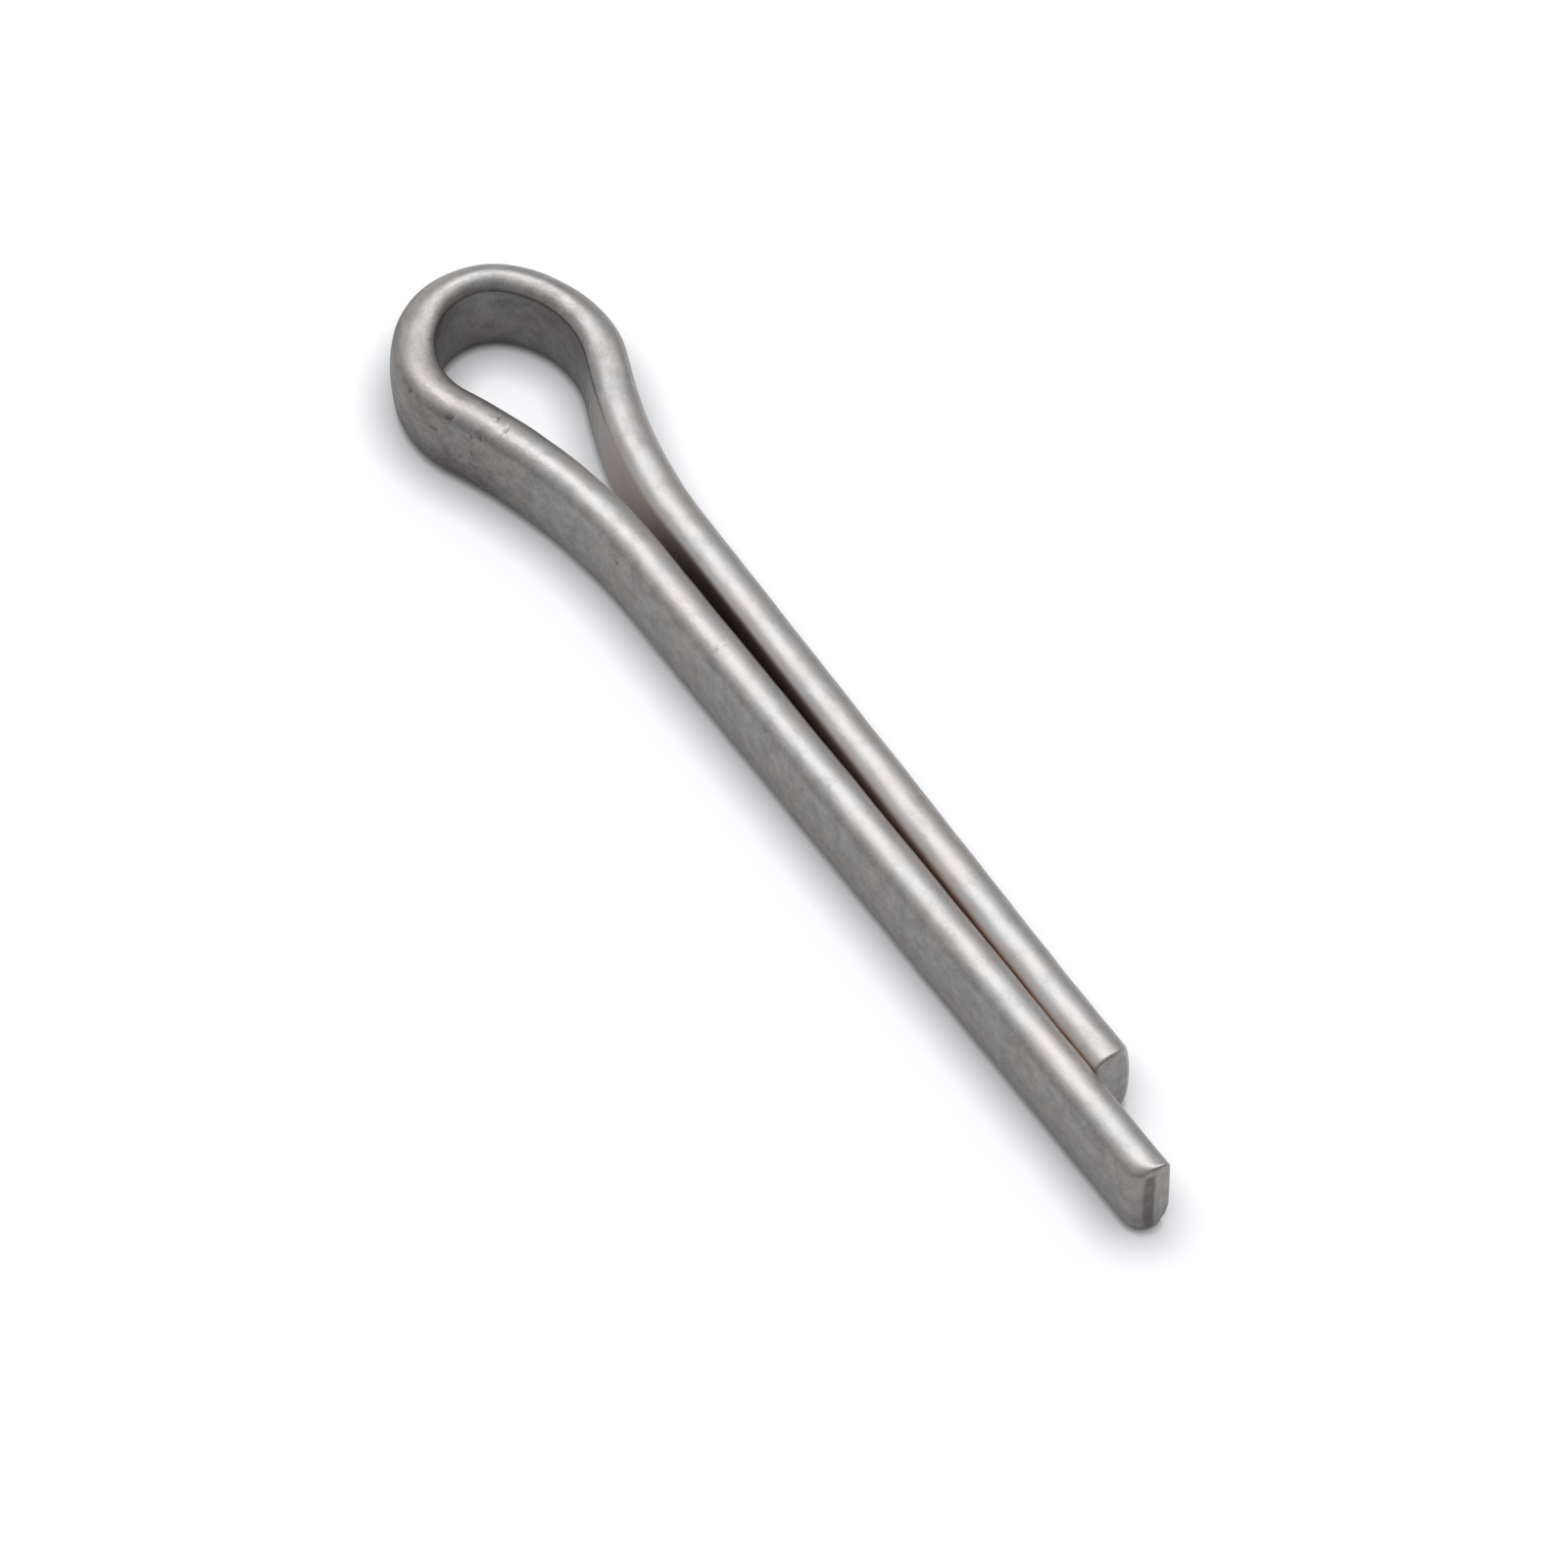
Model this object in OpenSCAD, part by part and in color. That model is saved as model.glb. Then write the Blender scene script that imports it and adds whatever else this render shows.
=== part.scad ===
// Split cotter pin: one length of flattened half-round wire, bent flat side inwards into
// an eye and two straight legs that lie together, one leg longer than the other.
// The origin is the centre of the eye's round end, at mid-height of the wire.
// +X runs along the legs to their ends, +Z is the axis of the eye. The short leg is at +Y.

/* [Wire] */
// Height of the wire, across its flat inner side
wire_h = 3.6; // [3.0:0.1:4.4]
// Thickness of the wire, from its flat inner side to its flattened crown
wire_t = 1.54; // [1.3:0.02:1.78]
// Radius of the two corners beside the flat inner side
corner_r = 0.32; // [0.1:0.02:0.5]
// Bevel left round each sheared end
end_bevel = 0.3; // [0.1:0.02:0.6]

/* [Eye] */
// Inner radius of the eye's round end
eye_end_r = 1.89; // [1.5:0.01:2.4]
// Inner radius of the eye's cheek on the short leg's side
short_cheek_r = 3.35; // [2.7:0.01:4.2]
// Inner radius of the eye's cheek on the long leg's side
long_cheek_r = 2.25; // [1.9:0.01:2.8]
// Angle over which the round end turns into the short leg's cheek
short_cheek_turn = 45.7; // [30:0.1:60]
// Angle over which the round end turns into the long leg's cheek
long_cheek_turn = 30.6; // [20:0.1:60]

/* [Neck] */
// Radius of the neck's bend into the short leg, on its flat side
short_neck_r = 18.7; // [14:0.1:24]
// Radius of the neck's bend into the long leg, on its flat side
long_neck_r = 21.0; // [16:0.1:26]

/* [Legs] */
// From the centre of the eye's round end to the end of the short leg
short_leg_x = 34.2; // [24:0.1:50]
// How far the long leg runs on past the short one
prong = 4.5; // [2:0.1:8]
// Gap between the two legs at the end of the short leg
tip_gap = 0.06; // [0.04:0.01:0.4]
// How far the short leg stands out from the middle at the neck
neck_gap = 0.43; // [0.1:0.01:0.8]

/* [Hidden] */
$fn = 120;
crown_r = wire_h / 2;
long_leg_x = short_leg_x + prong;
// The round end and the necks run on a little way into the cheeks and the legs,
// which are thicker all round by a skin that is too thin to see or feel
run_on = 0.1;
skin = 0.01;
// One side of the pin: [cheek radius, cheek turn, neck radius, gap at neck, gap at end, end's x]
SHORT = [short_cheek_r, short_cheek_turn, short_neck_r, neck_gap, tip_gap / 2, short_leg_x];
LONG = [long_cheek_r, long_cheek_turn, long_neck_r, tip_gap / 2, tip_gap / 2, long_leg_x];

// Centre of the cheek's arc, which meets the round end's arc without a kink
function cheek_centre(side) = (side[0] - eye_end_r) * [cos(side[1]), -sin(side[1])];

// Slope at which the cheek hands over to the neck
function shoulder(side) = acos((side[3] + side[2] - cheek_centre(side).y) / (side[0] + side[2]));

// Centre of the neck's arc, outside the pin
function neck_centre(side) =
    cheek_centre(side) + (side[0] + side[2]) * [sin(shoulder(side)), cos(shoulder(side))];

// Heading of the leg, which leaves the neck's arc and ends at its own gap
function heading(side) =
    let (to_end = [side[5], side[4]] - neck_centre(side))
    atan2(to_end.y, to_end.x) + asin(side[2] / norm(to_end));

// Where the leg leaves the neck's arc
function leg_start(side) =
    neck_centre(side) + side[2] * [sin(heading(side)), -cos(heading(side))];

// Angle of an arc of the given radius that is as long as the run-on
function run_on_turn(r) = run_on / r * 180 / PI;

// What lies outside the round of one corner beside the flat side
module corner_waste(r, corner) {
    in = r - corner;
    up = sqrt(in * in - corner_r * corner_r);
    out = 2 * r / in;
    difference() {
        polygon([[-r, up], [corner_r, up], out * [corner_r, up], [-r, out * up]]);
        translate([corner_r, up]) circle(corner);
    }
}

// Section of the wire: a half round with its crown flattened, flat side on x = 0
module section(grow = 0) {
    r = crown_r + grow;
    difference() {
        intersection() {
            circle(r);
            translate([-grow, -wire_h]) square([wire_t + 2 * grow, 2 * wire_h]);
        }
        corner_waste(r, corner_r + grow);
        mirror([0, 1]) corner_waste(r, corner_r + grow);
    }
}

// The wire bent round a centre on its flat side
module bend_in(centre, r, from, turn, grow) {
    translate([centre.x, centre.y, 0]) rotate([0, 0, from])
        rotate_extrude(angle = turn) translate([r, 0]) section(grow);
}

// The wire bent round a centre on its crown's side
module bend_out(centre, r, from, turn) {
    translate([centre.x, centre.y, 0]) rotate([0, 0, from])
        rotate_extrude(angle = turn) translate([r, 0]) mirror([1, 0]) section();
}

// The round end of the eye, which both cheeks take up
module round_end() {
    more = run_on_turn(eye_end_r);
    bend_in([0, 0], eye_end_r, 180 - short_cheek_turn - more,
        short_cheek_turn + long_cheek_turn + 2 * more, 0);
}

// A straight leg with its sheared end, running along +Z from its start
module leg(run) {
    intersection() {
        linear_extrude(run) section(skin);
        cylinder(h = run, r1 = crown_r - end_bevel + run, r2 = crown_r - end_bevel);
    }
}

// Cheek, neck and leg of one side, at +Y
module one_side(side) {
    slope = shoulder(side);
    turn = heading(side);
    start = leg_start(side);
    more = run_on_turn(side[2]);
    bend_in(cheek_centre(side), side[0], 90 - slope, 90 - side[1] + slope, skin);
    bend_out(neck_centre(side), side[2], 270 - slope - more, slope + turn + 2 * more);
    translate([start.x, start.y, 0]) rotate([0, 0, turn]) rotate([90, 0, 90])
        leg(norm([side[5], side[4]] - start));
}

module split_pin() {
    color([0.62, 0.61, 0.59]) {
        round_end();
        one_side(SHORT);
        mirror([0, 1, 0]) one_side(LONG);
    }
}

split_pin();
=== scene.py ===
"""A split cotter pin: one length of flattened half-round wire, bent into an eye and two legs."""

import math

import bpy
from bpy.props import FloatProperty, FloatVectorProperty, IntProperty, PointerProperty
from mathutils import Matrix, Vector


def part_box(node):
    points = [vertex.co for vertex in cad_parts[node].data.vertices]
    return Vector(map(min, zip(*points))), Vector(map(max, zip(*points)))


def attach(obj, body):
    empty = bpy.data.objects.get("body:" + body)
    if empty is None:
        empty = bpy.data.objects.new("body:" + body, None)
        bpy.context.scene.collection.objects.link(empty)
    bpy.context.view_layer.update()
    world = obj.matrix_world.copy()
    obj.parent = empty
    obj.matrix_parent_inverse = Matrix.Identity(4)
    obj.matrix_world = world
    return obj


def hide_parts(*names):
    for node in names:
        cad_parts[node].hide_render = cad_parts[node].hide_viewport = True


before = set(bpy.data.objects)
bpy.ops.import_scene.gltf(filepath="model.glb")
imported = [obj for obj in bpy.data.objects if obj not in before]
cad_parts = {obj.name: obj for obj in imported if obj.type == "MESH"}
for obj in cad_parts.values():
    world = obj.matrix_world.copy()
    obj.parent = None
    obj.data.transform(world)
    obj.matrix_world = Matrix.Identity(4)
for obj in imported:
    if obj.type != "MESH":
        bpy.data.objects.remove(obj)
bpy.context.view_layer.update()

bl_info = {
    "name": "Split Cotter Pin",
    "version": (1, 0, 0),
    "blender": (4, 5, 0),
    "location": "3D View > Sidebar > Split Pin",
    "description": "Sweeps a split cotter pin from half-round wire and sets a plain stage round it",
    "category": "Object",
}

NODE = "split_pin"
MM = 0.001
CAD_LOW, CAD_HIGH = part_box(NODE)
# The point that the camera looks at, at the wire's mid-height
AIM = Vector((18.87 * MM, -1.66 * MM, 0.0))

# Marks that handling has left on the wire: (along, around, half length, half width, depth, lean in degrees).
# Along is measured on the flat side from the middle of the eye's round end, and is negative on the short leg.
# Around is measured over the wire's top from the middle of its flat side. All in millimetres.
MARKS = [
    (5.85, 1.96, 0.16, 0.045, 0.05, 80),  # nick across the ridge of the long leg's cheek
    (6.36, 2.27, 0.20, 0.035, 0.04, 75),  # its thin far end
    (3.22, 3.02, 0.12, 0.10, 0.05, 0),  # pits on the cheek's outer side
    (3.81, 2.92, 0.07, 0.05, 0.03, 0),
    (4.07, 3.66, 0.09, 0.07, 0.04, 0),
    (4.30, 3.18, 0.16, 0.04, 0.03, 10),
    (4.42, 2.88, 0.12, 0.08, 0.05, 20),
    (5.38, 3.12, 0.12, 0.06, 0.05, 90),
    (5.75, 2.97, 0.20, 0.05, 0.03, 60),
    (4.97, 4.39, 0.10, 0.07, 0.05, 70),  # a chip: two dents with metal pushed up between them
    (5.45, 3.92, 0.20, 0.06, 0.05, 85),
    (5.33, 4.50, 0.10, 0.06, -0.03, 70),
    (12.63, 3.50, 0.08, 0.07, 0.07, 0),  # a pit where the long leg begins
    (17.76, 2.46, 0.35, 0.03, 0.02, 85),  # a scratch across the long leg's ridge
    (-5.84, 8.45, 0.12, 0.09, 0.08, 90),  # a pit inside the eye
]

# How the outline of the section and the rings along the wire are divided
CORNER_STEPS = 6
CROWN_STEPS = 16
SHOULDER_STEPS = 8
SIDE_STEPS = 36
FLAT_STEPS = 16
END_STEPS = 8
BEND_TURN = 0.03
LEG_STEP = 0.25 * MM
MARK_STEP = 0.05 * MM
MARK_REACH = 0.4 * MM
# Radius of the outer side, which is nearly flat
SIDE_BULGE = 8.0 * MM

# Noise patterns on the wire: repeats a millimetre along it, out from its flat side and down, then the noise's
# detail and roughness
RAGGED = ((5.0, 5.0, 5.0), 2.0, 0.5)
WAVES = ((0.55, 0.8, 0.8), 2.0, 0.5)
LINES = ((0.3, 7.0, 7.0), 4.0, 0.6)
GRAIN = ((9.0, 10.0, 10.0), 3.0, 0.7)
MOTTLE = ((1.7, 1.9, 1.9), 4.0, 0.6)
PATCHES = ((0.5, 0.6, 0.6), 3.0, 0.5)
# The values between which these noises change what they drive
NOISE_SPAN = (0.3, 0.7)
MOTTLE_SPAN = (0.3, 0.72)
PATCH_SPAN = (0.35, 0.65)
# How far the ragged pattern shifts the outlines of the marks
RAGGED_SHIFT = 0.35 * MM

# The eye's drawn-in shoulder: where along the wire it is drawn in most, then how its depth changes with the
# distance along from there, out from the flat side and down, and the way that it moves, down and outwards
PULL_PLACE = -1.7 * MM
PULL_ALONG = (1.0 * MM, 3.6 * MM)
PULL_OUT_FROM = 0.6 * MM
PULL_DOWN = (-1.2 * MM, 0.0)
PULL_WAY = (0.55, -0.84)
# The way that the long leg's worn corner moves, down and outwards
WORN_WAY = (-0.85, 0.5)

# Where the steel's look changes, by the distance along the wire from the middle of the eye's round end
EYE_FADES = (4.0 * MM, 10.0 * MM)
LONG_LEG_BEGINS = (-1.0 * MM, 1.0 * MM)
SLIT_BEGINS = (6.5 * MM, 9.5 * MM)
NECK_FADES = (10.5 * MM, 15.5 * MM)
RUST_GROWS = (16.0 * MM, 33.0 * MM)
# By the distance past the short leg's end
TIP_FADES = (-0.2 * MM, 0.1 * MM)
# By the distance out from the flat side
SLIT_FACE = (0.0, 0.14 * MM)
CROWN_BEGINS = (0.1 * MM, 0.4 * MM)
SIDE_BEGINS = (1.05 * MM, 1.4 * MM)
# By the distance down from the wire's mid-height
LOW_BEGINS = (-0.6 * MM, 1.4 * MM)
FOOT_BEGINS = (1.0 * MM, 1.6 * MM)
# By the depth of a dent, or of an end's round edge
DENT_BEGINS = (0.005 * MM, 0.05 * MM)

# How much each place adds to the steel's darkening, from 0 for clean to 1 for the dark colour: painted shade
# on the sides, low down and in the eye, and soil from mottle, grain and dents
SIDE_PAINTED_SHADE = 0.51
FAR_SIDE_SHADE_SHARE = 0.1
LOW_PAINTED_SHADE = 0.31
INNER_PAINTED_SHADE = 0.62
FOOT_PAINTED_SHADE = 0.25
EYE_CROWN_PAINTED_SHADE = 0.2
MOTTLE_SOIL = (-0.12, 0.14)
GRAIN_SOIL = (-0.1, 0.1)
DENT_SOIL = 0.42
# How strong the slit's brown is, from the neck to the ends, and how much of the metal it covers
RUST_STRENGTH = (0.3, 0.9)
RUST_COVER = 0.9
# How much the lines and the grain show in the surface, and how deep they are
LINES_SHARE, GRAIN_SHARE = 0.3, 0.7
GRAIN_DEPTH = 0.02 * MM

# The floor's half width, and the rays that its painted soft shadow takes
FLOOR_HALF = 0.6
SHADE_SAMPLES = 8
# The softbox's height above the point aimed at, its left, right, near and far edges from the camera, counted
# in that height, and its turn
SOFTBOX_HEIGHT = 0.6
SOFTBOX_EDGES = (-0.6, 1.38, 0.385, 0.57)
SOFTBOX_TURN = math.radians(9.3)
# The way to the room's bright side from the camera: right, away and up
BRIGHT_SIDE = (-0.706, 0.571, 0.42)
# Where the camera's view begins
NEAREST_SEEN = 0.01


def length(name, description, default_mm, low=0.0):
    """A size in the panel, written here in millimetres."""
    return FloatProperty(
        name=name, description=description, default=default_mm * MM, min=low * MM,
        precision=5, subtype="DISTANCE", unit="LENGTH",
    )


def turn(name, description, default_deg):
    """An angle in the panel, written here in degrees."""
    return FloatProperty(
        name=name, description=description, default=math.radians(default_deg),
        subtype="ANGLE", unit="ROTATION",
    )


def number(name, description, default, low=0.0, high=100.0):
    """A plain number in the panel."""
    return FloatProperty(name=name, description=description, default=default, min=low, max=high)


def colour(name, description, default):
    """A colour in the panel."""
    return FloatVectorProperty(
        name=name, description=description, default=default, size=3, min=0.0, max=1.0, subtype="COLOR",
    )


class WireSizes(bpy.types.PropertyGroup):
    """The wire's section and its sheared ends."""

    height: length("Height", "Height of the wire, across its flat inner side", 3.53)
    thickness: length("Thickness", "From the flat inner side to the outer side", 1.54)
    corner: length("Corner", "Radius of the corners beside the flat inner side", 0.2)
    crown: length("Crown", "Radius of the rounded top and bottom", 1.0)
    crown_place: length("Crown place", "From the flat inner side to the highest point of the crown", 0.67)
    shoulder: length("Shoulder", "Radius between the crown and the outer side", 0.55)
    end_edge: length("End edge", "Radius round the edge of the sheared ends", 0.11)
    short_end: length("Short end round", "Radius of the short leg's outer corner, seen from above", 0.33)
    long_end: length("Long end round", "Radius of the long leg's outer corner, seen from above", 0.65)
    worn_depth: length("Worn corner", "How far the long leg's lower inner corner is worn back", 0.28)
    worn_reach: length("Worn reach", "How far that wear reaches along and round the wire", 1.1)
    step: length("Step", "Greatest distance between rings in the bends", 0.08)
    eye_pull: length("Eye pull", "How far bending has drawn in the upper outer shoulder at the eye", 0.2)
    wave: length("Wave", "Depth of the slow waves that drawing and bending leave in the surface", 0.018)


class EyeSizes(bpy.types.PropertyGroup):
    """The eye, measured on the wire's flat side."""

    end_radius: length("Round end", "Inner radius of the eye's round end", 1.89)
    short_cheek: length("Short cheek", "Inner radius of the cheek on the short leg's side", 3.35)
    long_cheek: length("Long cheek", "Inner radius of the cheek on the long leg's side", 2.25)
    short_turn: turn("Short turn", "Turn of the round end into the short leg's cheek", 45.7)
    long_turn: turn("Long turn", "Turn of the round end into the long leg's cheek", 30.6)
    short_neck: length("Short neck", "Radius of the neck into the short leg", 18.7)
    long_neck: length("Long neck", "Radius of the neck into the long leg", 21.0)


class LegSizes(bpy.types.PropertyGroup):
    """The two legs."""

    reach: length("Reach", "From the middle of the eye's round end to the long leg's end", CAD_HIGH.x / MM)
    prong: length("Prong", "How far the long leg runs on past the short one", 4.27)
    neck_gap: length("Neck gap", "How far the short leg stands out from the middle at the neck", 0.43)
    tip_gap: length("Tip gap", "Gap between the legs where the short one lies against the long one", 0.012)
    meet: length("Meet", "From the middle of the eye to where the short leg meets the long one", 31.3)


class SteelFinish(bpy.types.PropertyGroup):
    """The drawn steel's look."""

    cool: colour("Cool", "Colour of the steel in its cool patches", (0.605, 0.6, 0.6))
    warm: colour("Warm", "Colour of the steel in its warm patches", (0.622, 0.59, 0.568))
    # The dark colour that painted shade and soil both mix the steel towards
    shaded_and_soiled: colour("Soiled", "Colour of the steel where it is dull and dark", (0.19, 0.178, 0.174))
    neck: colour("Neck", "Colour of the steel where the slit opens into the eye", (0.7, 0.615, 0.58))
    slit: colour("Slit", "Colour of the steel inside the slit", (0.62, 0.46, 0.38))
    roughness: number("Roughness", "How dull the clean steel is", 0.40, high=1.0)
    dulling: number("Dulling", "How much duller the soiled steel is", 0.06, high=1.0)
    grain: number("Grain", "Strength of the grain", 0.4, high=1.0)
    seed: IntProperty(name="Seed", description="Picks another pattern of grain and smudges", default=3)


class StageSettings(bpy.types.PropertyGroup):
    """Camera, lamps and floor."""

    facing: turn("Facing", "Turn of the camera round the pin, from the pin's own length", -34.416)
    looking_down: turn("Looking down", "Angle of the camera above the floor", 57.071)
    distance: length("Distance", "From the camera to the point that it looks at", 508.4)
    lens: number("Lens", "Focal length in millimetres on a 36 mm sensor", 360.0, high=1000.0)
    floor: number("Floor", "Whiteness of the floor in the light it throws back", 0.8, high=1.0)
    white: colour("White", "Tint of the floor as the camera sees it", (0.975, 0.98, 1.0))
    lit_share: number("Lit share", "How much of the floor's white shows light and shadow", 0.46, high=1.0)
    even_share: number("Even share", "How much of the floor's white is even", 0.784, high=1.0)
    mirrored: number("Mirrored", "How much of that white the metal mirrors", 0.35, high=1.0)
    # The soft shade and the contact line are painted shadow, made from ambient occlusion in the floor's
    # colour
    shade: length("Shade", "How far the soft shade round the pin reaches", 1.5)
    contact: length("Contact", "How far the dark line where the pin rests reaches", 0.3)
    softbox: number("Softbox", "Brightness of the softbox", 4.7)
    room: number("Room", "Brightness of the room on its dark side", 0.18)
    reflector: number("Reflector", "How much brighter the room is behind on the left, from the camera", 0.39)


# ---- The wire's path and section ----


def arc(centre, radius, start, end, step):
    """Points along an arc from one angle to another, without the first, at most a step apart."""
    count = math.ceil(abs(end - start) / min(BEND_TURN, step / radius))
    angles = [start + (end - start) * i / count for i in range(1, count + 1)]
    return [centre + radius * Vector((math.cos(a), math.sin(a))) for a in angles]


def evenly(start, end, run):
    """Points a leg step apart on the way from start to end, without the first, as far as a given run."""
    way = (end - start).normalized()
    count = math.ceil(run / LEG_STEP)
    return [start + way * (run * i / count) for i in range(1, count + 1)]


def side_path(wire, eye, legs, cheek, cheek_turn, neck, gap, reach):
    """The flat side's line from the middle of the round end to one leg's end, for a leg at +Y."""
    centre = (cheek - eye.end_radius) * Vector((math.cos(cheek_turn), -math.sin(cheek_turn)))
    slope = math.acos((gap + neck - centre.y) / (cheek + neck))
    neck_centre = centre + (cheek + neck) * Vector((math.sin(slope), math.cos(slope)))
    touch, end = Vector((legs.meet, legs.tip_gap / 2)), Vector((reach, legs.tip_gap / 2))
    to_touch = touch - neck_centre
    heading = math.atan2(to_touch.y, to_touch.x) + math.asin(neck / to_touch.length)
    points = [Vector((-eye.end_radius, 0.0))]
    points += arc(Vector((0.0, 0.0)), eye.end_radius, math.pi, math.pi - cheek_turn, wire.step)
    points += arc(centre, cheek, math.pi - cheek_turn, math.pi / 2 - slope, wire.step)
    points += arc(neck_centre, neck, 1.5 * math.pi - slope, 1.5 * math.pi + heading, wire.step)
    points += evenly(points[-1], touch, (touch - points[-1]).length)
    rounding = [wire.long_end * (i / END_STEPS) ** 2 for i in range(END_STEPS + 2)]
    points += evenly(touch, end, (end - touch).length - rounding[-1])
    return points + [end - Vector((d, 0.0)) for d in reversed(rounding[:-1])]


def pin_path(wire, eye, legs):
    """The flat side's line from the short leg's end to the long leg's, and the short side's length."""
    short_bends = (eye.short_cheek, eye.short_turn, eye.short_neck, legs.neck_gap)
    long_bends = (eye.long_cheek, eye.long_turn, eye.long_neck, legs.tip_gap / 2)
    short = side_path(wire, eye, legs, *short_bends, legs.reach - legs.prong)
    long = side_path(wire, eye, legs, *long_bends, legs.reach)
    short_length = sum((b - a).length for a, b in zip(short, short[1:]))
    points = short[::-1] + [Vector((p.x, -p.y)) for p in long[1:]]
    return [(p.x, p.y, 0.0) for p in finer_at_marks(points, short_length)], short_length


def finer_at_marks(points, short_length):
    """The line with more points on its long stretches near the marks."""
    places = [short_length + mark[0] * MM for mark in MARKS]
    finer, passed = points[:1], 0.0
    for a, b in zip(points, points[1:]):
        run = (b - a).length
        near = any(passed - MARK_REACH < place < passed + run + MARK_REACH for place in places)
        count = math.ceil(run / MARK_STEP) if near else 1
        finer += [a.lerp(b, i / count) for i in range(1, count + 1)]
        passed += run
    return finer


def wire_section(wire):
    """The section's outline from the middle of the flat side over the top: x out from it, y down."""
    crown = Vector((wire.crown_place, wire.height / 2 - wire.crown))
    side = Vector((wire.thickness - SIDE_BULGE, 0.0))
    corner_rise = math.sqrt((wire.crown - wire.corner) ** 2 - (crown.x - wire.corner) ** 2)
    corner = Vector((wire.corner, crown.y + corner_rise))
    shoulder = nested(crown, wire.crown, side, SIDE_BULGE, wire.shoulder)
    leaves_corner = math.atan2(corner.y - crown.y, corner.x - crown.x)
    leaves_crown = math.atan2(shoulder.y - crown.y, shoulder.x - crown.x)
    leaves_shoulder = math.atan2(shoulder.y - side.y, shoulder.x - side.x)
    half = [Vector((0.0, corner.y * i / (FLAT_STEPS / 2))) for i in range(FLAT_STEPS // 2 + 1)]
    half += arc_steps(corner, wire.corner, math.pi, leaves_corner, CORNER_STEPS)
    half += arc_steps(crown, wire.crown, leaves_corner, leaves_crown, CROWN_STEPS)
    half += arc_steps(shoulder, wire.shoulder, leaves_crown, leaves_shoulder, SHOULDER_STEPS)
    half += arc_steps(side, SIDE_BULGE, leaves_shoulder, 0.0, SIDE_STEPS // 2)
    outline = half + [Vector((p.x, -p.y)) for p in reversed(half[1:-1])]
    return [(p.x, -p.y, 0.0) for p in outline]


def nested(first, first_radius, second, second_radius, radius):
    """The centre of a circle that touches two larger ones from inside, left of the way between them."""
    a, b = first_radius - radius, second_radius - radius
    way = second - first
    ahead = (a * a - b * b + way.length_squared) / (2 * way.length)
    way.normalize()
    return first + ahead * way - math.sqrt(a * a - ahead * ahead) * Vector((-way.y, way.x))


def arc_steps(centre, radius, start, end, steps):
    """Points along an arc in a given number of steps, without the first."""
    angles = [start + (end - start) * i / steps for i in range(1, steps + 1)]
    return [centre + radius * Vector((math.cos(a), math.sin(a))) for a in angles]


def line_object(name, points, closed):
    """A curve object through the points, whose normals stay level."""
    data = bpy.data.curves.new(name, "CURVE")
    data.dimensions = "3D"
    data.twist_mode = "Z_UP"
    spline = data.splines.new("POLY")
    spline.points.add(len(points) - 1)
    for place, point in zip(spline.points, points):
        place.co = (*point, 1.0)
    spline.use_cyclic_u = closed
    made = bpy.data.objects.new(name, data)
    bpy.context.scene.collection.objects.link(made)
    return made


# ---- Node trees ----

# The lengths that the wire's tree takes
WIRE_LENGTHS = (
    "Short Side", "Half Height", "Thickness", "End Edge", "Short End", "Long End",
    "Wave", "Eye Pull", "Worn Depth", "Worn Reach",
)


class NodeSketch:
    """Adds nodes to a tree and links them."""

    def __init__(self, tree):
        self.tree = tree
        tree.nodes.clear()

    def add(self, kind, feeds=(), **settings):
        """A new node with its settings made and its inputs fed by values or by other nodes' outputs."""
        node = self.tree.nodes.new(kind)
        node.location = (200 * (len(self.tree.nodes) % 12), -180 * (len(self.tree.nodes) // 12))
        for name, value in settings.items():
            setattr(node, name, value)
        for key, value in dict(feeds).items():
            if isinstance(value, bpy.types.NodeSocket):
                self.tree.links.new(value, node.inputs[key])
            else:
                node.inputs[key].default_value = value
        return node

    def math(self, operation, *values, clamp=False):
        """A Math node's output."""
        node = self.add("ShaderNodeMath", enumerate(values), operation=operation, use_clamp=clamp)
        return node.outputs[0]

    def vector(self, operation, *values):
        """A Vector Math node's output."""
        return self.add("ShaderNodeVectorMath", enumerate(values), operation=operation).outputs[0]

    def scaled(self, vector, factor):
        """A vector times a number."""
        feeds = {"Vector": vector, "Scale": factor}
        return self.add("ShaderNodeVectorMath", feeds, operation="SCALE").outputs[0]

    def joined(self, x, y, z):
        """A vector from three numbers."""
        return self.add("ShaderNodeCombineXYZ", {"X": x, "Y": y, "Z": z}).outputs[0]

    def split(self, vector):
        """A vector's three numbers."""
        return self.add("ShaderNodeSeparateXYZ", {"Vector": vector}).outputs

    def ramp(self, value, low, high, start=0.0, end=1.0):
        """Value taken smoothly from low to high onto start to end."""
        feeds = {"Value": value, "From Min": low, "From Max": high, "To Min": start, "To Max": end}
        return self.add("ShaderNodeMapRange", feeds, interpolation_type="SMOOTHSTEP").outputs[0]


def new_geometry_tree(name, inputs):
    """An empty geometry tree with named inputs: (name, socket type, subtype)."""
    tree = bpy.data.node_groups.new(name, "GeometryNodeTree")
    sketch = NodeSketch(tree)
    for label, kind, subtype in inputs:
        socket = tree.interface.new_socket(name=label, in_out="INPUT", socket_type=kind)
        if subtype:
            socket.subtype = subtype
    tree.interface.new_socket(name="Geometry", in_out="OUTPUT", socket_type="NodeSocketGeometry")
    return tree, sketch, sketch.add("NodeGroupInput").outputs


def kept(sketch, geometry, name, kind, value):
    """The geometry with a value kept on its points under a name."""
    feeds = {"Geometry": geometry, "Name": name, "Value": value}
    return sketch.add("GeometryNodeStoreNamedAttribute", feeds, data_type=kind, domain="POINT").outputs[0]


def recalled(sketch, name, kind="FLOAT"):
    """A value that was kept on the points under a name."""
    return sketch.add("GeometryNodeInputNamedAttribute", {"Name": name}, data_type=kind).outputs[0]


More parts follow.
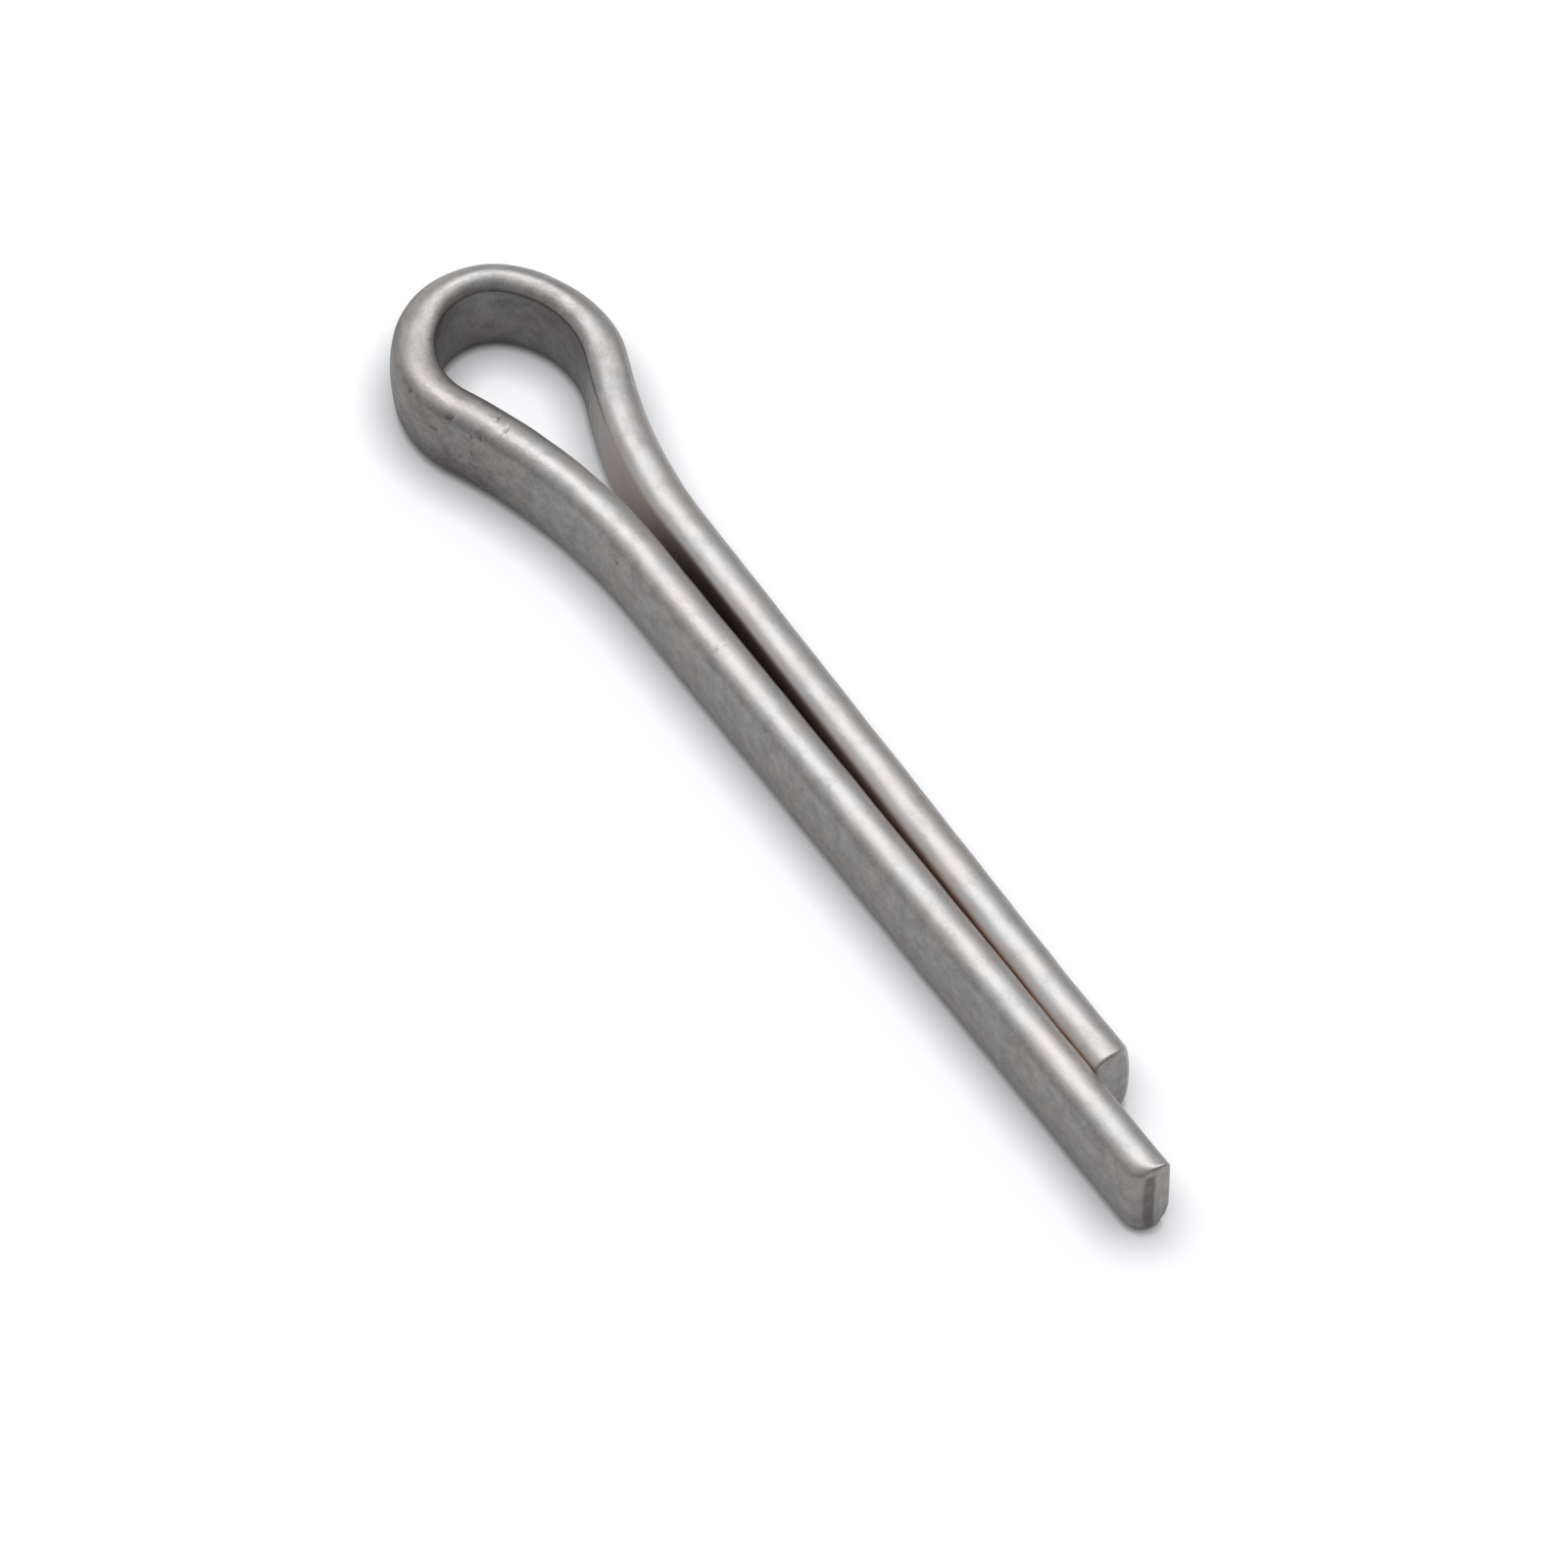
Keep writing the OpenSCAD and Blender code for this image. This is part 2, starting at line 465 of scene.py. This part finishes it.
def beside(sketch):
    """The way along a level curve, turned a quarter clockwise."""
    x, y, _ = sketch.split(sketch.add("GeometryNodeInputTangent").outputs[0])
    return sketch.joined(y, sketch.math("MULTIPLY", x, -1.0), 0.0)


def pattern(sketch, place, kind, seed=0.0):
    """A noise pattern's value at a place on the wire. The seed picks another part of it."""
    per_mm, detail, roughness = kind
    feeds = {
        "Vector": sketch.vector("MULTIPLY_ADD", place, [v / MM for v in per_mm], (seed, 2 * seed, 3 * seed)),
        "Scale": 1.0,
        "Detail": detail,
        "Roughness": roughness,
    }
    return sketch.add("ShaderNodeTexNoise", feeds, noise_dimensions="3D").outputs[0]


def mark_depth(sketch, along, around, mark):
    """How deep one mark is at each point of the wire."""
    at_along, at_around, long, wide, depth, lean = mark
    c, s = math.cos(math.radians(lean)), math.sin(math.radians(lean))
    da = sketch.math("SUBTRACT", along, at_along * MM)
    dr = sketch.math("SUBTRACT", around, at_around * MM)
    long, wide = long * MM, wide * MM
    u = sketch.math("ADD", sketch.math("MULTIPLY", da, c / long), sketch.math("MULTIPLY", dr, s / long))
    v = sketch.math("SUBTRACT", sketch.math("MULTIPLY", dr, c / wide), sketch.math("MULTIPLY", da, s / wide))
    square = sketch.math("ADD", sketch.math("MULTIPLY", u, u), sketch.math("MULTIPLY", v, v))
    return sketch.math("MULTIPLY", sketch.math("EXPONENT", sketch.math("MULTIPLY", square, -1.0)), depth * MM)


def rounded(sketch, distance, radius):
    """How far a quarter circle of a radius falls back at a distance from an edge."""
    share = sketch.math("SUBTRACT", 1.0, sketch.math("DIVIDE", distance, radius), clamp=True)
    square = sketch.math("MULTIPLY", share, share)
    level = sketch.math("SQRT", sketch.math("SUBTRACT", 1.0, square, clamp=True))
    return sketch.math("MULTIPLY", radius, sketch.math("SUBTRACT", 1.0, level))


def slanted(sketch, down, outwards, shares):
    """A way given by how far it goes down and how far outwards."""
    return sketch.vector("ADD", sketch.scaled(down, shares[0]), sketch.scaled(outwards, shares[1]))


def all_marks(sketch, marks, along, around, ragged):
    """How deep all the marks together are at each point of the wire, with ragged outlines."""
    shift = sketch.math("MULTIPLY", sketch.math("SUBTRACT", ragged, 0.5), RAGGED_SHIFT)
    along = sketch.math("ADD", along, shift)
    around = sketch.math("SUBTRACT", around, shift)
    dents = 0.0
    for mark in marks:
        dents = sketch.math("ADD", dents, mark_depth(sketch, along, around, mark))
    return dents


def eye_pull(sketch, along, out, down, depth, thickness):
    """How far bending has drawn in the upper outer shoulder at the eye."""
    from_place = sketch.math("ABSOLUTE", sketch.math("SUBTRACT", along, PULL_PLACE))
    pull = sketch.ramp(from_place, *PULL_ALONG, depth, 0.0)
    pull = sketch.math("MULTIPLY", pull, sketch.ramp(out, PULL_OUT_FROM, thickness))
    return sketch.math("MULTIPLY", pull, sketch.ramp(down, *PULL_DOWN, 1.0, 0.0))


def wire_tree(marks):
    """Sweeps the section along the pin's path, rounds the sheared ends and presses the marks in."""
    inputs = [("Geometry", "NodeSocketGeometry", None), ("Section", "NodeSocketObject", None)]
    inputs += [(name, "NodeSocketFloat", "DISTANCE") for name in WIRE_LENGTHS]
    inputs += [("Steel", "NodeSocketMaterial", None)]
    tree, sketch, given = new_geometry_tree("Swept wire", inputs)

    # On the path: how far each point is from either end, and the way out from the flat side
    length_here = sketch.add("GeometryNodeSplineParameter").outputs["Length"]
    whole = sketch.add("GeometryNodeSplineLength").outputs["Length"]
    path = kept(sketch, given["Geometry"], "from_short_end", "FLOAT", length_here)
    path = kept(sketch, path, "from_long_end", "FLOAT", sketch.math("SUBTRACT", whole, length_here))
    path = kept(sketch, path, "outwards", "FLOAT_VECTOR", beside(sketch))

    # On the section: its own place, its length round the outline and the way out of it
    section = sketch.add("GeometryNodeObjectInfo", {"Object": given["Section"]}).outputs["Geometry"]
    length_round = sketch.add("GeometryNodeSplineParameter").outputs["Length"]
    section = kept(sketch, section, "around", "FLOAT", length_round)
    place = sketch.add("GeometryNodeInputPosition").outputs[0]
    section = kept(sketch, section, "section_place", "FLOAT_VECTOR", place)
    section = kept(sketch, section, "section_out", "FLOAT_VECTOR", beside(sketch))

    feeds = {"Curve": path, "Profile Curve": section, "Fill Caps": True}
    swept = sketch.add("GeometryNodeCurveToMesh", feeds).outputs[0]

    # What each point of the swept wire still knows of the path and the section
    to_short, to_long = recalled(sketch, "from_short_end"), recalled(sketch, "from_long_end")
    around = recalled(sketch, "around")
    outwards = recalled(sketch, "outwards", "FLOAT_VECTOR")
    px, py, _ = sketch.split(recalled(sketch, "section_place", "FLOAT_VECTOR"))
    nx, ny, _ = sketch.split(recalled(sketch, "section_out", "FLOAT_VECTOR"))
    along = sketch.math("SUBTRACT", to_short, given["Short Side"])
    wire_place = sketch.joined(along, px, py)
    down = sketch.joined(0.0, 0.0, -1.0)

    # Straight into the surface: the ends' round edges, the marks, and slow waves
    inset = rounded(sketch, sketch.math("MINIMUM", to_short, to_long), given["End Edge"])
    dents = all_marks(sketch, marks, along, around, pattern(sketch, wire_place, RAGGED))
    waves = sketch.ramp(pattern(sketch, wire_place, WAVES), *NOISE_SPAN, 0.0, given["Wave"])
    depth = sketch.math("ADD", inset, sketch.math("ADD", dents, waves))
    move = sketch.vector("ADD", sketch.scaled(outwards, nx), sketch.scaled(down, ny))
    move = sketch.scaled(move, sketch.math("MULTIPLY", depth, -1.0))

    # The long leg's lower inner corner, worn back towards the middle of the section
    from_corner = sketch.joined(px, sketch.math("SUBTRACT", py, given["Half Height"]), to_long)
    gone = sketch.add("ShaderNodeVectorMath", {0: from_corner}, operation="LENGTH").outputs["Value"]
    wear = sketch.ramp(gone, 0.0, given["Worn Reach"], given["Worn Depth"], 0.0)
    move = sketch.vector("ADD", move, sketch.scaled(slanted(sketch, down, outwards, WORN_WAY), wear))

    # The ends' rounder outer corners, which draw the section in towards its flat side
    drawn_in = sketch.math(
        "ADD", rounded(sketch, to_short, given["Short End"]), rounded(sketch, to_long, given["Long End"])
    )
    drawn_in = sketch.math("MULTIPLY", drawn_in, sketch.math("DIVIDE", px, given["Thickness"]))
    move = sketch.vector("SUBTRACT", move, sketch.scaled(outwards, drawn_in))

    pull = eye_pull(sketch, along, px, py, given["Eye Pull"], given["Thickness"])
    move = sketch.vector("ADD", move, sketch.scaled(slanted(sketch, down, outwards, PULL_WAY), pull))
    shaped = sketch.add("GeometryNodeSetPosition", {"Geometry": swept, "Offset": move}).outputs[0]

    # What the steel's look follows: the place on the wire, and where dents and the ends' edges hold dirt
    shaped = kept(sketch, shaped, "wire_place", "FLOAT_VECTOR", wire_place)
    shaped = kept(sketch, shaped, "dents", "FLOAT", sketch.math("ADD", dents, inset))
    for name in ("from_short_end", "from_long_end", "outwards", "section_place", "section_out", "around"):
        shaped = sketch.add("GeometryNodeRemoveAttribute", {"Geometry": shaped, "Name": name}).outputs[0]
    real = sketch.add("GeometryNodeRealizeInstances", {"Geometry": shaped}).outputs[0]
    steel = sketch.add("GeometryNodeSetMaterial", {"Geometry": real, "Material": given["Steel"]}).outputs[0]
    sketch.add("NodeGroupOutput", {"Geometry": steel})
    return tree


def set_input(modifier, name, value):
    """Sets a modifier's input by its socket's identifier."""
    for socket in modifier.node_group.interface.items_tree:
        if socket.item_type == "SOCKET" and socket.in_out == "INPUT" and socket.name == name:
            modifier[socket.identifier] = value
            return
    raise RuntimeError(f"the tree has no input named {name}")


# ---- Materials ----


def new_material(name):
    """A material whose nodes are still to be added, and its sketch."""
    made = bpy.data.materials.new(name)
    made.use_nodes = True
    return made, NodeSketch(made.node_tree)


def mixed(sketch, factor, first, second):
    """Two colours mixed."""
    node = sketch.add("ShaderNodeMix", data_type="RGBA", clamp_factor=True)
    for socket, value in ((node.inputs[0], factor), (node.inputs[6], first), (node.inputs[7], second)):
        if isinstance(value, bpy.types.NodeSocket):
            sketch.tree.links.new(value, socket)
        else:
            socket.default_value = value
    return node.outputs[2]


def painted_shade_and_soil(sketch, along, out, down, dents, mottle, grain):
    """How dark the steel is made: the crown stays bright, painted shade darkens and dulls the sides, most of
    all at the eye, and soil comes from mottle, grain and dents.
    """
    # Painted shade at the eye: the inner wall is darkened, the bottom of the wire more, and the crown's
    # highlight is dimmed
    near_eye = sketch.ramp(sketch.math("ABSOLUTE", along), *EYE_FADES, 1.0, 0.0)
    on_crown = sketch.ramp(out, *CROWN_BEGINS)
    inner = sketch.math("MULTIPLY_ADD", on_crown, -INNER_PAINTED_SHADE, INNER_PAINTED_SHADE)
    inner = sketch.math("ADD", inner, sketch.math("MULTIPLY", sketch.ramp(down, *FOOT_BEGINS), FOOT_PAINTED_SHADE))
    eye_painted_shade = sketch.math("ADD", sketch.math("MULTIPLY", on_crown, EYE_CROWN_PAINTED_SHADE), inner)

    # Painted shade on the outer side: in full on the long leg, a tenth of it on the short leg
    near_side = sketch.ramp(along, *LONG_LEG_BEGINS, FAR_SIDE_SHADE_SHARE, 1.0)
    on_side = sketch.math("MULTIPLY", sketch.ramp(out, *SIDE_BEGINS), near_side)
    # Painted shade: the outer side near the eye darker towards the bottom
    low_down = sketch.math("MULTIPLY", sketch.ramp(down, *LOW_BEGINS), near_eye)
    shade_and_soil = sketch.math("MULTIPLY", on_side, sketch.math("MULTIPLY_ADD", low_down, LOW_PAINTED_SHADE, SIDE_PAINTED_SHADE))
    shade_and_soil = sketch.math("MULTIPLY_ADD", eye_painted_shade, near_eye, shade_and_soil)
    shade_and_soil = sketch.math("ADD", shade_and_soil, sketch.ramp(mottle, *MOTTLE_SPAN, *MOTTLE_SOIL))
    shade_and_soil = sketch.math("ADD", shade_and_soil, sketch.ramp(grain, *NOISE_SPAN, *GRAIN_SOIL))
    return sketch.math("ADD", shade_and_soil, sketch.ramp(dents, *DENT_BEGINS, 0.0, DENT_SOIL), clamp=True)


def slit_share(sketch, from_eye, out, short_tip):
    """How much of a point lies on a flat face that the other leg covers."""
    reached = sketch.split(sketch.add("ShaderNodeTexCoord").outputs["Object"])[0]
    covered = sketch.ramp(reached, *(short_tip + place for place in TIP_FADES), 1.0, 0.0)
    on_face = sketch.ramp(out, *SLIT_FACE, 1.0, 0.0)
    past_eye = sketch.ramp(from_eye, *SLIT_BEGINS)
    return sketch.math("MULTIPLY", sketch.math("MULTIPLY", on_face, past_eye), covered)


def drawn_steel(finish, short_tip):
    """Satin steel wire: lines along it, a fine grain, warm and cool patches, sides darkened by painted shade
    and made duller, and a brown slit.
    """
    steel, sketch = new_material("Drawn steel")
    place = sketch.add("ShaderNodeAttribute", attribute_name="wire_place").outputs["Vector"]
    dents = sketch.add("ShaderNodeAttribute", attribute_name="dents").outputs["Fac"]
    along, out, down = sketch.split(place)
    lines = pattern(sketch, place, LINES, finish.seed)
    grain = pattern(sketch, place, GRAIN, finish.seed)
    mottle = pattern(sketch, place, MOTTLE, finish.seed + 1)
    patches = pattern(sketch, place, PATCHES, finish.seed + 2)

    shade_and_soil = painted_shade_and_soil(sketch, along, out, down, dents, mottle, grain)
    clean = mixed(sketch, sketch.ramp(patches, *PATCH_SPAN), (*finish.cool, 1.0), (*finish.warm, 1.0))
    # Painted shade and soil together mix the clean steel towards the dark colour
    tint = mixed(sketch, shade_and_soil, clean, (*finish.shaded_and_soiled, 1.0))

    # Brown between the legs: pale at the neck, dark behind it and stronger again towards the ends
    from_eye = sketch.math("ABSOLUTE", along)
    in_slit = slit_share(sketch, from_eye, out, short_tip)
    rust = sketch.scaled(sketch.joined(*finish.slit), sketch.ramp(from_eye, *RUST_GROWS, *RUST_STRENGTH))
    rust = mixed(sketch, sketch.ramp(from_eye, *NECK_FADES), (*finish.neck, 1.0), rust)
    tint = mixed(sketch, in_slit, tint, rust)

    height = sketch.math("MULTIPLY", lines, LINES_SHARE)
    height = sketch.math("ADD", height, sketch.math("MULTIPLY", grain, GRAIN_SHARE))
    feeds = {"Height": height, "Strength": finish.grain, "Distance": GRAIN_DEPTH}
    feeds = {
        "Base Color": tint,
        "Metallic": sketch.math("MULTIPLY_ADD", in_slit, -RUST_COVER, 1.0),
        "Roughness": sketch.math("MULTIPLY_ADD", shade_and_soil, finish.dulling, finish.roughness),
        "Normal": sketch.add("ShaderNodeBump", feeds).outputs[0],
    }
    surface = sketch.add("ShaderNodeBsdfPrincipled", feeds).outputs[0]
    sketch.add("ShaderNodeOutputMaterial", {"Surface": surface})
    return steel


# ---- Operators ----


class SPLITPIN_OT_wire(bpy.types.Operator):
    """Sweep the pin from its section and path, and dress it in drawn steel"""

    bl_idname = "mesh.split_pin_wire"
    bl_label = "Add Split Pin"
    bl_options = {"REGISTER", "UNDO"}

    def execute(self, context):
        scene = context.scene
        wire, eye, legs = scene.pin_wire, scene.pin_eye, scene.pin_legs
        points, short_length = pin_path(wire, eye, legs)
        path = line_object("pin_path", points, closed=False)
        section = line_object("wire_section", wire_section(wire), closed=True)
        modifier = path.modifiers.new("Swept wire", "NODES")
        modifier.node_group = wire_tree(MARKS)
        values = {
            "Section": section,
            "Short Side": short_length,
            "Half Height": wire.height / 2,
            "Thickness": wire.thickness,
            "End Edge": wire.end_edge,
            "Short End": wire.short_end,
            "Long End": wire.long_end,
            "Wave": wire.wave,
            "Eye Pull": wire.eye_pull,
            "Worn Depth": wire.worn_depth,
            "Worn Reach": wire.worn_reach,
            "Steel": drawn_steel(scene.pin_finish, legs.reach - legs.prong),
        }
        for name, value in values.items():
            set_input(modifier, name, value)
        context.view_layer.update()
        graph = context.evaluated_depsgraph_get()
        mesh = bpy.data.meshes.new_from_object(path.evaluated_get(graph), depsgraph=graph)
        if not mesh.polygons:
            raise RuntimeError("the swept wire has no faces")
        for helper in (path, section):
            bpy.data.objects.remove(helper)
        mesh.shade_smooth()
        pin = bpy.data.objects.new("bent_wire", mesh)
        scene.collection.objects.link(pin)
        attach(pin, "root")
        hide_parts(NODE)
        return {"FINISHED"}


def studio_point(stage, right, away, up):
    """A point given from where the camera stands, in the pin's frame."""
    turned = Matrix.Rotation(stage.facing + math.pi / 2, 3, "Z")
    return AIM + turned @ Vector((right, away, up))


def pointed(thing, target):
    """Turns a camera or lamp to look at a point."""
    thing.rotation_euler = (target - thing.location).to_track_quat("-Z", "Y").to_euler()


class SPLITPIN_OT_stage(bpy.types.Operator):
    """Add the floor, the softbox, the room's light and the camera"""

    bl_idname = "scene.split_pin_stage"
    bl_label = "Add Stage"
    bl_options = {"REGISTER", "UNDO"}

    def execute(self, context):
        scene = context.scene
        stage = scene.pin_stage
        add_floor(scene, stage)
        add_softbox(scene, stage)
        add_room(scene, stage)
        add_camera(scene, stage)
        scene.view_settings.view_transform = "Standard"
        return {"FINISHED"}


def add_floor(scene, stage):
    """A pale floor under the pin that keeps its real shadow, adds a painted soft shadow round the pin and
    shows white to the camera.
    """
    corners = [(x * FLOOR_HALF, y * FLOOR_HALF, CAD_LOW.z) for x, y in ((-1, -1), (1, -1), (1, 1), (-1, 1))]
    mesh = bpy.data.meshes.new("floor")
    mesh.from_pydata(corners, [], [(0, 1, 2, 3)])
    paint, sketch = new_material("White floor")
    rays = sketch.add("ShaderNodeLightPath").outputs
    painted_shadows = [
        sketch.add("ShaderNodeAmbientOcclusion", {"Distance": reach}, samples=SHADE_SAMPLES).outputs["AO"]
        for reach in (stage.shade, stage.contact)
    ]
    # Painted shadow: ambient occlusion round the pin darkens the floor's white, both where it glows and where
    # it is lit
    white = sketch.scaled(sketch.joined(*stage.white), sketch.math("MULTIPLY", *painted_shadows))
    plain = (stage.floor, stage.floor, stage.floor, 1.0)
    share = sketch.math("MULTIPLY_ADD", rays["Is Glossy Ray"], stage.mirrored, rays["Is Camera Ray"])
    feeds = {"Color": mixed(sketch, share, plain, sketch.scaled(white, stage.lit_share))}
    lit = sketch.add("ShaderNodeBsdfDiffuse", feeds).outputs[0]
    feeds = {"Color": white, "Strength": sketch.math("MULTIPLY", share, stage.even_share)}
    glow = sketch.add("ShaderNodeEmission", feeds).outputs[0]
    surface = sketch.add("ShaderNodeAddShader", {0: lit, 1: glow}).outputs[0]
    sketch.add("ShaderNodeOutputMaterial", {"Surface": surface})
    mesh.materials.append(paint)
    floor = bpy.data.objects.new("floor", mesh)
    scene.collection.objects.link(floor)


def add_softbox(scene, stage):
    """A long softbox high behind the pin. The wire's crown mirrors it as the light band along the legs."""
    left, right, near, far = SOFTBOX_EDGES
    data = bpy.data.lights.new("softbox", "AREA")
    data.shape = "RECTANGLE"
    data.size = (right - left) * SOFTBOX_HEIGHT
    data.size_y = (far - near) * SOFTBOX_HEIGHT
    data.energy = stage.softbox * math.pi * data.size * data.size_y
    lamp = bpy.data.objects.new("softbox", data)
    middle = Matrix.Rotation(SOFTBOX_TURN, 3, "Z") @ Vector(((left + right) / 2, (near + far) / 2, 1.0))
    lamp.location = studio_point(stage, *(middle * SOFTBOX_HEIGHT))
    lamp.rotation_euler = (0.0, 0.0, stage.facing + math.pi / 2 + SOFTBOX_TURN)
    lamp.visible_camera = False
    scene.collection.objects.link(lamp)


def add_room(scene, stage):
    """The room's light, brighter behind on the left, and the white backdrop that the camera sees."""
    world = bpy.data.worlds.new("room")
    world.use_nodes = True
    sketch = NodeSketch(world.node_tree)
    way = sketch.add("ShaderNodeTexCoord").outputs["Generated"]
    feeds = {0: way, 1: studio_point(stage, *BRIGHT_SIDE) - AIM}
    facing = sketch.add("ShaderNodeVectorMath", feeds, operation="DOT_PRODUCT").outputs["Value"]
    share = sketch.math("POWER", sketch.math("MULTIPLY_ADD", facing, 0.5, 0.5), 2.0)
    even = sketch.math("MULTIPLY_ADD", share, stage.reflector, stage.room)
    seen = sketch.add("ShaderNodeLightPath").outputs["Is Camera Ray"]
    feeds = {"Color": (1.0, 1.0, 1.0, 1.0), "Strength": sketch.math("MAXIMUM", even, seen)}
    light = sketch.add("ShaderNodeBackground", feeds).outputs[0]
    sketch.add("ShaderNodeOutputWorld", {"Surface": light})
    scene.world = world


def add_camera(scene, stage):
    """The camera, looking down on the pin from beside the long leg."""
    data = bpy.data.cameras.new("camera")
    data.lens = stage.lens
    data.clip_start = NEAREST_SEEN
    camera = bpy.data.objects.new("camera", data)
    level, rise = math.cos(stage.looking_down), math.sin(stage.looking_down)
    back = Vector((math.cos(stage.facing) * level, math.sin(stage.facing) * level, rise))
    camera.location = AIM + stage.distance * back
    pointed(camera, AIM)
    scene.collection.objects.link(camera)
    scene.camera = camera


class SPLITPIN_PT_panel(bpy.types.Panel):
    """The pin's sizes and finish, and the buttons that build it"""

    bl_label = "Split Pin"
    bl_idname = "SPLITPIN_PT_panel"
    bl_space_type = "VIEW_3D"
    bl_region_type = "UI"
    bl_category = "Split Pin"

    def draw(self, context):
        for name, label in GROUP_LABELS.items():
            box = self.layout.box()
            box.label(text=label)
            group = getattr(context.scene, name)
            for key in group.__annotations__:
                box.prop(group, key)
        self.layout.operator(SPLITPIN_OT_wire.bl_idname)
        self.layout.operator(SPLITPIN_OT_stage.bl_idname)


GROUPS = {
    "pin_wire": WireSizes,
    "pin_eye": EyeSizes,
    "pin_legs": LegSizes,
    "pin_finish": SteelFinish,
    "pin_stage": StageSettings,
}
GROUP_LABELS = {
    "pin_wire": "Wire",
    "pin_eye": "Eye",
    "pin_legs": "Legs",
    "pin_finish": "Finish",
    "pin_stage": "Stage",
}
CLASSES = [*GROUPS.values(), SPLITPIN_OT_wire, SPLITPIN_OT_stage, SPLITPIN_PT_panel]


def register():
    """Makes the panel, the operators and the settings known."""
    for cls in CLASSES:
        bpy.utils.register_class(cls)
    for name, group in GROUPS.items():
        setattr(bpy.types.Scene, name, PointerProperty(type=group))


def unregister():
    """Takes them away again."""
    for name in GROUPS:
        delattr(bpy.types.Scene, name)
    for cls in reversed(CLASSES):
        bpy.utils.unregister_class(cls)


def main():
    """Builds the pin and its stage."""
    register()
    bpy.ops.mesh.split_pin_wire()
    bpy.ops.scene.split_pin_stage()


if __name__ == "__main__":
    main()
